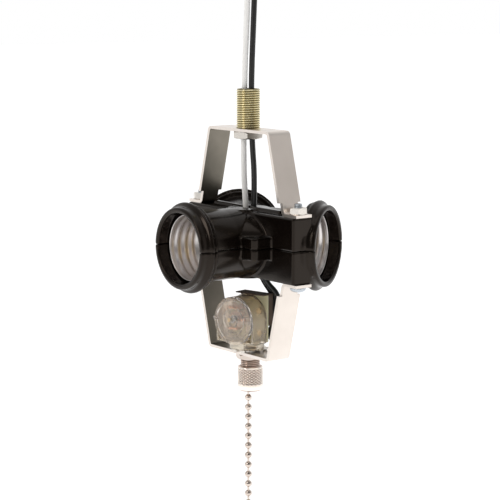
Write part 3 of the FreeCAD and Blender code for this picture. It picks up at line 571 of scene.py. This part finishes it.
SWITCH_TURN = math.radians(12)
SWITCH_HEIGHT = -33.0
CASE_OFFSET = 1.9  # how far the case's middle lies to the left of the bushing's axis
SWITCH_FRONT = Vector((math.sin(SWITCH_TURN), -math.cos(SWITCH_TURN), 0))
SWITCH_RIGHT = Vector((math.cos(SWITCH_TURN), math.sin(SWITCH_TURN), 0))


def on_switch(right, up):
    """The matrix that stands a shape on the switch's middle plane, facing out through its cover."""
    foot = Vector(BUSHING) + SWITCH_RIGHT * (right - CASE_OFFSET) + Vector((0, 0, SWITCH_HEIGHT + up))
    return upward(SWITCH_FRONT, foot)


def make_cover():
    """The clear cover: a thick rim, a ring ridge, a middle boss and a small tab at each side."""
    back, face, high = 7.8, 9.0, 9.4
    profile = [(ON_AXIS, back), (10.2, back), (10.2, 8.9), (10.0, high - 0.1), (9.7, high), (9.0, high)]
    profile += [(8.6, face), (6.1, face), (5.8, 9.3), (5.1, 9.3), (4.8, face), (2.6, face), (2.4, high)]
    profile += [(0.9, high), (0.7, 9.1), (ON_AXIS, 9.1)]
    parts = [lathe(profile, on_switch(0, 0), around=96)]
    tab = [(ON_AXIS, 8.2), (0.95, 8.2), (0.95, high), (0.7, high + 0.2), (ON_AXIS, high + 0.2)]
    for side in (-1, 1):
        parts.append(lathe(tab, on_switch(side * 9.5, 0.4), around=24))
    creased(finished("cover_moulding", mesh_of("cover", *merged(*parts)), "switch_cover"), degrees=28)


def slab(low, high):
    """A flat plate in the switch's own directions: right, towards its back, and up."""
    corners = []
    for x in (low[0], high[0]):
        for y in (low[1], high[1]):
            for z in (low[2], high[2]):
                corners.append(on_switch(x, z) @ Vector((0, 0, -y)))
    faces = [(0, 1, 3, 2), (4, 6, 7, 5), (0, 4, 5, 1), (2, 3, 7, 6), (0, 2, 6, 4), (1, 5, 7, 3)]
    return corners, faces


def make_fibre():
    """The fibre insulator: a lid over the case, a skirt behind the board and a flap beside the leads."""
    left, right = -5.0, 10.4
    front, back, far_edge = -1.6, 2.3, 4.6
    foot, top = -2.3, 10.7
    thick, lid_thick = 0.45, 0.5
    lid = slab((left, front, top), (right, far_edge, top + lid_thick))
    skirt = slab((left, back - thick, foot), (right, back, top))
    flap = slab((right - thick, back, foot), (right, far_edge, top))
    fibre = finished("fibre_wrap", mesh_of("fibre", *merged(lid, skirt, flap)), "fibre_shield", smooth=False)
    roll_edges(fibre, 0.12)


def make_flange():
    """The thin rolled flange round the back of the case, where it meets the board."""
    profile = [(10.15, -0.75), (10.5, -0.75), (10.62, -0.55), (10.62, -0.2), (10.5, 0.0), (10.15, 0.0)]
    flange = mesh_of("flange", *lathe(profile, on_switch(0, 0), around=96))
    creased(finished("case_flange", flange, "switch_case", finish="clear_cover", replaces=False), degrees=35)


def make_drum():
    """The moulded drum on the ratchet's own axis, with notches round its rim."""
    notches = 8
    notch_depth = 0.55
    notch_flank = 2.4
    notched_from = 3
    low, high = (Vector(corner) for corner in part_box("ratchet_drum"))
    turn = Vector((0, 0, 1)).rotation_difference(SWITCH_FRONT).to_matrix().to_4x4()
    place = Matrix.Translation((low + high) / 2) @ turn @ Matrix.Scale(MM, 4)

    def notched(angle, radius, height):
        if radius <= notched_from:
            return radius
        return radius - notch_depth * (1 - wave(notches * angle / TAU, notch_flank))

    profile = [(0.95, -1.3), (3.6, -1.3), (3.7, -1.1), (3.7, 1.1), (3.6, 1.3)]
    profile += [(2.4, 1.3), (2.2, 1.0), (0.95, 1.0)]
    drum = mesh_of("drum", *lathe(profile, place, around=96, shift=notched))
    creased(finished("notched_drum", drum, "ratchet_drum"), degrees=30)


# ---------------------------------------------------------------- switch bushing and bell

ON_BUSHING = upward((0, 0, 1), BUSHING)


def make_bushing():
    parts = threaded(
        outer=4.2, depth=0.35, pitch=0.8, low=-57.0, high=-45.4, place=ON_BUSHING, bore=2.5
    )
    bushing = finished("bushing", mesh_of("bushing", *parts), "threaded_bushing", finish="bushing_nickel")
    creased(bushing, degrees=85)
    nut = hexagon(flat=5.45, low=-50.0, high=-47.6, bore=4.25, place=ON_BUSHING, turn=math.radians(70))
    creased(finished("under_locknut", mesh_of("under_locknut", *nut), "bushing_locknut"))


def make_bell():
    """The bell-mouthed nut under the switch: a diamond-knurled barrel over a grooved, rounded mouth."""
    top, rim, low = -53.2, -60.9, -63.8
    barrel = 5.4
    columns = 18
    points_per_column = 12
    knurl_depth = 0.55
    lean = 0.9
    flat_top = 1.6
    knurl_top = top - 0.5
    fade_above, fade_below = 0.4, 0.3

    def knurl(angle, radius, height):
        if radius < barrel:
            return radius
        turns = columns * angle / TAU
        rise = height * lean
        cross = min(wave(turns + rise), wave(turns - rise))
        full = max(0.0, min(1.0, (knurl_top - height) / fade_above, (height - rim) / fade_below))
        return barrel - knurl_depth * full * (1 - min(1.0, cross * flat_top))

    shoulder = [(4.25, top), (4.9, top), (5.2, top - 0.15)]
    wall = [(barrel, z) for z in reversed(rows(rim, top - 0.45, 0.16))]
    groove = [(5.15, rim - 0.12), (5.15, rim - 0.42), (5.38, rim - 0.55)]
    mouth = [(5.38, low + 1.5), (5.2, low + 0.8), (4.7, low + 0.25), (3.9, low), (2.9, low)]
    inside = [(2.62, low + 0.25), (2.62, -59.0), (4.25, -57.6)]
    profile = [*shoulder, *wall, *groove, *mouth, *inside]
    parts = lathe(profile, ON_BUSHING, around=columns * points_per_column, shift=knurl)
    bell = finished("knurled_nut", mesh_of("knurled_nut", *parts), "knurled_bell", finish="knurled_nickel")
    creased(bell, degrees=60)


# ---------------------------------------------------------------- pull chain

BEAD_RADIUS = 1.5
BEAD_PITCH = 4.2
STEM_FOOT = -62.8  # height of the lowest bead on the pull stem, with the switch at rest
STEM_COUNT = 4
CHAIN_COUNT = 12


def bead(height):
    """A chain bead: a ball with a bore for the wire, cut off where the bore comes out."""
    bore = 0.46
    mouth = 1.36
    inner = 1.1
    ball_steps = 24
    cut_steps = 3
    profile = [(bore, height - mouth)]
    for i in range(cut_steps, ball_steps - cut_steps + 1):
        angle = math.pi * i / ball_steps
        profile.append((BEAD_RADIUS * math.sin(angle), height - BEAD_RADIUS * math.cos(angle)))
    profile += [(bore, height + mouth), (bore, height + inner), (bore, height - inner)]
    return lathe(profile, UP, around=28)


def make_chain():
    """The stem's beads, the swivelling bead, the hanging beads and the end bell."""
    swivel = STEM_FOOT - BEAD_PITCH
    first = swivel - BEAD_PITCH
    groups = {
        "stem_beads": [STEM_FOOT + BEAD_PITCH * i for i in range(STEM_COUNT)],
        "swivel_bead": [swivel],
        "chain_beads": [first - BEAD_PITCH * i for i in range(CHAIN_COUNT)],
    }
    for node, heights in groups.items():
        parts = merged(*[bead(z) for z in heights])
        creased(finished(node + "_turned", mesh_of(node, *parts), node), degrees=40)

    bell_overlap, bell_length = 1.95, 8.2
    top = groups["chain_beads"][-1] + bell_overlap
    low = top - bell_length
    outside = [(0.7, top), (1.5, top), (2.0, top - 0.35), (2.1, top - 0.9), (2.1, top - 3.2)]
    outside += [(2.2, top - 4.2), (2.55, top - 7.0), (2.6, low + 0.3), (2.45, low)]
    inside = [(2.1, low), (1.95, low + 0.5), (1.65, top - 3.7), (1.65, top - 0.6), (0.7, top - 0.6)]
    bell = mesh_of("end_bell", *lathe([*outside, *inside], UP, around=48))
    creased(finished("end_bell_turned", bell, "end_bell"))


# ---------------------------------------------------------------- leads

SUPPLY_ROUTES = {
    "black": [
        (1.2, 1.9, 13.0),
        (1.6, 2.2, 26.0),
        (0.9, 1.3, 42.0),
        (0.7, 1.0, 57.0),
        (0.9, 1.1, 72.0),
        (1.3, 1.5, 87.0),
        (1.5, 2.0, 101.0),
    ],
    "white": [
        (-0.8, -0.6, 13.0),
        (-1.2, -1.3, 26.0),
        (-1.3, -1.5, 42.0),
        (-1.0, -1.3, 57.0),
        (-0.8, -1.3, 72.0),
        (-0.5, -0.7, 87.0),
        (-0.1, -0.4, 101.0),
    ],
}
SWITCH_ROUTES = {
    "switch_lead_live": [
        (3.9, 2.2, -11.5),
        (4.3, 5.0, -17.0),
        (6.4, 8.2, -22.5),
        (6.8, 8.9, -29.0),
        (6.4, 8.8, -34.5),
        (5.2, 7.2, -39.2),
        (4.4, 4.15, -40.9),
    ],
    "switch_lead_load": [
        (6.4, 1.6, -11.5),
        (7.6, 3.6, -16.8),
        (10.2, 7.6, -21.5),
        (10.6, 8.8, -28.0),
        (9.9, 8.6, -34.0),
        (8.6, 7.2, -39.0),
        (7.4, 4.95, -40.9),
    ],
}
LEAD_RADIUS = 1.2


def lead_curve(name, route, node):
    """An insulated lead, as a NURBS curve over its route's points."""
    curve = bpy.data.curves.new(name, "CURVE")
    curve.dimensions = "3D"
    curve.bevel_depth = LEAD_RADIUS * MM
    curve.bevel_resolution = 6
    curve.resolution_u = 16
    curve.use_fill_caps = True
    spline = curve.splines.new("NURBS")
    spline.points.add(len(route) - 1)
    for point, place in zip(spline.points, route):
        point.co = (*at(*place), 1)
    spline.order_u = 3
    spline.use_endpoint_u = True
    curve.materials.append(MATERIALS[SLOT_OF[node]])
    lead = bpy.data.objects.new(name, curve)
    bpy.context.scene.collection.objects.link(lead)
    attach(lead, "fixture")
    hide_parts(node)
    return lead


def strand(length, radius, off_axis, start_angle, twist, short, place):
    """One round strand that winds about the bundle's axis, with its far end cut short by some length."""
    steps, sides = 28, 8
    verts, faces = [], []
    for i in range(steps + 1):
        height = length * i / steps - (short if i == steps else 0)
        centre = polar(off_axis, start_angle + twist * height / length, height)
        verts += [place @ (centre + polar(radius, TAU * j / sides, 0)) for j in range(sides)]
    for i in range(steps):
        here = i * sides
        above = here + sides
        for j in range(sides):
            k = (j + 1) % sides
            faces.append((here + j, here + k, above + k, above + j))
    faces.append(tuple(reversed(range(sides))))
    faces.append(tuple(steps * sides + j for j in range(sides)))
    return verts, faces


def strand_bundle(name, start, direction, node):
    """Bare copper strands: six twisted round a seventh, every second one a little shorter."""
    outer_strands = 6
    place = upward(direction, start)
    groups = []
    for k in range(outer_strands + 1):
        groups.append(
            strand(
                length=7.0,
                radius=0.2,
                off_axis=0.42 if k < outer_strands else 0.0,
                start_angle=TAU * k / outer_strands,
                twist=6.4,
                short=0.25 if k % 2 else 0,
                place=place,
            )
        )
    return creased(finished(name, mesh_of(name, *merged(*groups)), node), degrees=50)


def make_leads():
    for colour, route in SUPPLY_ROUTES.items():
        node = f"supply_lead_{colour}"
        lead = lead_curve(node + "_cord", route, node)
        direction = Vector(route[-1]) - Vector(route[-2])
        strands = strand_bundle(f"strands_{colour}", route[-1], direction, f"bare_strands_{colour}")
    for node, route in SWITCH_ROUTES.items():
        lead_curve(node + "_cord", route, node)


# ---------------------------------------------------------------- studio, in metres

AZIMUTH = math.radians(52.9)
CAMERA_RIGHT = Vector((math.cos(AZIMUTH), math.sin(AZIMUTH), 0))
CAMERA_BACK = Vector((math.sin(AZIMUTH), -math.cos(AZIMUTH), 0))
CAMERA_PLACE = (0.0007, 0.7336, 0.1057)
CAMERA_DIP = math.radians(8.48)
CAMERA_LENS = 127.1  # millimetres, like the sensor's width
CAMERA_SENSOR = 36

# Each light's name, place (right, back and up), width and height, power in watts, and colour.
LIGHTS = (
    ("key", (-0.75, 0.55, 0.45), (0.35, 0.6), 2.4, (1.0, 0.95, 0.90)),
    ("fill", (0.95, 0.35, 0.15), (0.4, 0.9), 0.25, (1.0, 0.93, 0.87)),
    ("top", (0.0, 0.15, 1.0), (0.8, 0.5), 0.8, (1, 1, 1)),
    ("spark", (0.12, 1.1, 0.75), (0.12, 0.12), 0.3, (1, 1, 1)),
)


def from_camera(right, back, up):
    """A point in metres, from the middle of the sockets, along the camera's own directions."""
    return CAMERA_RIGHT * right + CAMERA_BACK * back + Vector((0, 0, up - AXIS_DROP * MM))


def area_light(name, place, size, power, colour):
    """A rectangular light that faces the middle of the sockets."""
    light = bpy.data.lights.new(name, "AREA")
    light.shape = "RECTANGLE"
    light.size, light.size_y = size
    light.energy = power
    light.color = colour
    lamp = bpy.data.objects.new(name, light)
    lamp.location = place
    lamp.rotation_euler = (from_camera(0, 0, 0) - place).to_track_quat("-Z", "Y").to_euler()
    bpy.context.scene.collection.objects.link(lamp)


def studio_world():
    """A white room that is brightest behind the object and dim on the photographer's side.

    What is seen straight past the object is plain white."""
    dimmest = 0.1
    falloff = 1.3
    world = bpy.data.worlds.new("studio")
    world.use_nodes = True
    tree = world.node_tree
    background = tree.nodes["Background"]
    background.inputs["Color"].default_value = (1, 1, 1, 1)

    def math_node(operation, first, second):
        node = tree.nodes.new("ShaderNodeMath")
        node.operation = operation
        for socket, value in zip(node.inputs, (first, second)):
            if isinstance(value, (int, float)):
                socket.default_value = value
            else:
                tree.links.new(value, socket)
        return node.outputs["Value"]

    facing = tree.nodes.new("ShaderNodeVectorMath")
    facing.operation = "DOT_PRODUCT"
    tree.links.new(tree.nodes.new("ShaderNodeTexCoord").outputs["Generated"], facing.inputs[0])
    facing.inputs[1].default_value = -CAMERA_BACK

    behind = math_node("MULTIPLY", math_node("ADD", facing.outputs["Value"], 1.0), 0.5)
    curve = math_node("POWER", behind, falloff)
    room = math_node("ADD", math_node("MULTIPLY", curve, 1 - dimmest), dimmest)
    straight = tree.nodes.new("ShaderNodeLightPath").outputs["Is Camera Ray"]
    tree.links.new(math_node("MAXIMUM", room, straight), background.inputs["Strength"])
    return world


def make_camera():
    lens = bpy.data.cameras.new("camera")
    lens.lens = CAMERA_LENS
    lens.sensor_width = CAMERA_SENSOR
    camera = bpy.data.objects.new("camera", lens)
    camera.location = from_camera(*CAMERA_PLACE)
    camera.rotation_euler = (math.pi / 2 - CAMERA_DIP, 0, AZIMUTH)
    bpy.context.scene.collection.objects.link(camera)
    bpy.context.scene.camera = camera


def make_floor():
    """A pale floor, well below the object and lit enough of its own to vanish into the white."""
    reach = 12.0
    height = -0.42
    corners = [(-reach, -reach), (reach, -reach), (reach, reach), (-reach, reach)]
    mesh = mesh_of("floor", [(x, y, height) for x, y in corners], [(0, 1, 2, 3)])
    floor = bpy.data.objects.new("floor", mesh)
    bpy.context.scene.collection.objects.link(floor)
    paint = Paint("pale_floor")
    paint.set(Roughness=0.9, Emission_Color=(1, 1, 1, 1), Emission_Strength=0.72)
    paint.colour(paint.tones(paint.noise(3, detail=2), (0.78, 0.78, 0.78), (0.8, 0.8, 0.8)))
    mesh.materials.append(paint.material)


def make_studio():
    make_camera()
    bpy.context.scene.world = studio_world()
    bpy.context.scene.view_settings.view_transform = "Standard"
    for name, place, size, power, colour in LIGHTS:
        area_light(name, from_camera(*place), size, power, colour)
    make_floor()


make_studio()
make_leads()
make_nipple()
make_top_locknut()
make_clamp("left", -1)
make_clamp("right", 1)
for strap in STRAPS:
    roll_edges(frame["nodes"][strap], 0.2)
for pressed in ("switch_case", "switch_board", "tooth_washer", *(f"centre_contact_{n}" for n in SOCKETS)):
    roll_edges(frame["nodes"][pressed], 0.12)
remoulded("moulding_upper", "body_upper_half")
remoulded("moulding_lower", "body_lower_half")
for socket in SOCKETS:
    make_shell(socket)
make_cover()
make_fibre()
make_flange()
make_drum()
make_bushing()
make_bell()
make_chain()
